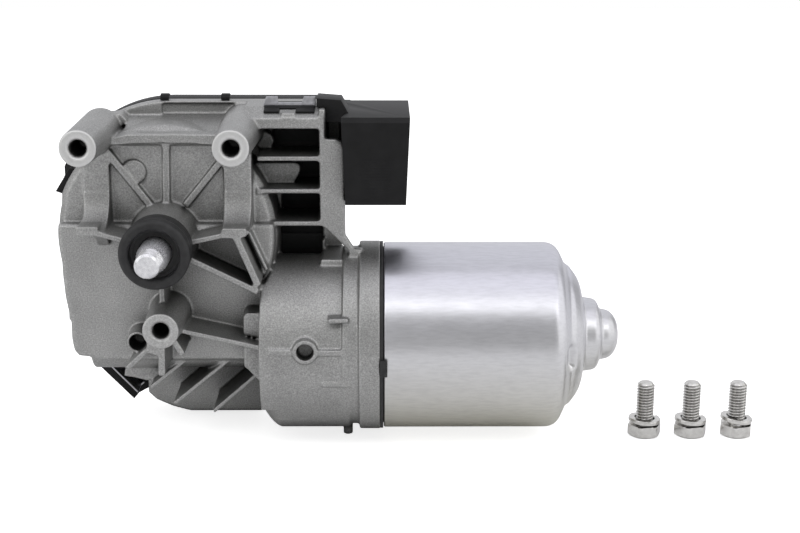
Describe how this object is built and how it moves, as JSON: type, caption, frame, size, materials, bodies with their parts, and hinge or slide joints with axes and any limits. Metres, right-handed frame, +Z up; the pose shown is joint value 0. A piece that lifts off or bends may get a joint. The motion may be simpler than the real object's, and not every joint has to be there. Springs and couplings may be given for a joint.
{
  "type": "wiper motor",
  "caption": "Windscreen wiper motor: ribbed cast gear case, knurled output shaft, round motor can, plug socket and loose bolts with split washers.",
  "frame": {"origin": "on the output shaft's axis, where its threaded end meets the knurled taper", "axes": "-Y along the output shaft, out of the case; +X along the motor towards the can's closed end; +Z up as it stands in the picture"},
  "size_m": [0.2355, 0.0785, 0.1139],
  "materials": {
    "cast_aluminium": "die cast, fine grey sand-like grain",
    "shaft_steel": "ground and hardened",
    "spring_steel": "bent strip and wire, plated",
    "plated_can": "deep drawn, bright zinc plated",
    "plated_bolt": "bright zinc plated",
    "black_rubber": "matte moulded rubber",
    "black_plastic": "matte moulded, lightly textured",
    "wheel_plastic": "natural moulded gear plastic",
    "bronze": "sintered bearing bronze",
    "copper": "copper",
    "brass": "stamped brass",
    "lamination_steel": "stacked steel sheets",
    "ferrite": "pressed ferrite, matte",
    "carbon": "pressed carbon brush",
    "board_green": "glass-fibre board with lacquer",
    "board_cases": "moulded relay and component cases"
  },
  "bodies": {
    "motor_case": {"gear_housing": "cast_aluminium", "front_bush": "bronze", "rear_bush": "bronze", "shaft_seal": "black_rubber", "boot_ring": "black_rubber", "worm_end_bush": "bronze", "thrust_ball": "shaft_steel", "adaptor_bush": "bronze", "can_end_bush": "bronze", "brush_plate": "black_plastic", "brush_holders": "brass", "spring_upper": "spring_steel", "spring_lower": "spring_steel", "motor_can": "plated_can", "can_gasket": "black_rubber", "field_magnets": "ferrite", "magnet_springs": "spring_steel", "cover_gasket": "black_rubber", "rear_cover": "black_plastic", "circuit_board": "board_green", "board_parts": "board_cases", "position_sensor": "board_cases", "connector_housing": "black_plastic", "connector_pins": "brass", "cover_clips": "spring_steel", "corner_clip": "spring_steel", "mounting_bolts": "plated_bolt", "lock_washers": "plated_bolt"},
    "armature": {"armature_shaft": "shaft_steel", "armature_core": "lamination_steel", "windings": "copper", "commutator_sleeve": "black_plastic", "commutator_bars": "copper"},
    "output": {"output_shaft": "shaft_steel", "worm_wheel": "wheel_plastic", "wheel_hub": "shaft_steel", "position_magnet": "ferrite", "circlip": "spring_steel", "thrust_washer": "shaft_steel"},
    "brush_top": {"brush_upper": "carbon"},
    "brush_bottom": {"brush_lower": "carbon"}
  },
  "joints": [
    {"name": "armature_spin", "type": "hinge", "parent": "motor_case", "child": "armature", "pos_m": [0, 0.04, -0.036], "axis": [1, 0, 0], "continuous": true},
    {"name": "output_spin", "type": "hinge", "parent": "motor_case", "child": "output", "pos_m": [0, 0, 0], "axis": [0, 1, 0], "continuous": true},
    {"name": "brush_upper_slide", "type": "slide", "parent": "motor_case", "child": "brush_top", "axis": [0, 0, 1], "range_m": [0, 0.0025], "stiffness_N_per_m": 200, "springref_m": -0.01, "deforming": ["spring_upper"]},
    {"name": "brush_lower_slide", "type": "slide", "parent": "motor_case", "child": "brush_bottom", "axis": [0, 0, -1], "range_m": [0, 0.0025], "stiffness_N_per_m": 200, "springref_m": -0.01, "deforming": ["spring_lower"]}
  ],
  "couplings": [
    {"joint": "output_spin", "follows": "armature_spin", "ratio": 0.016393}
  ]
}
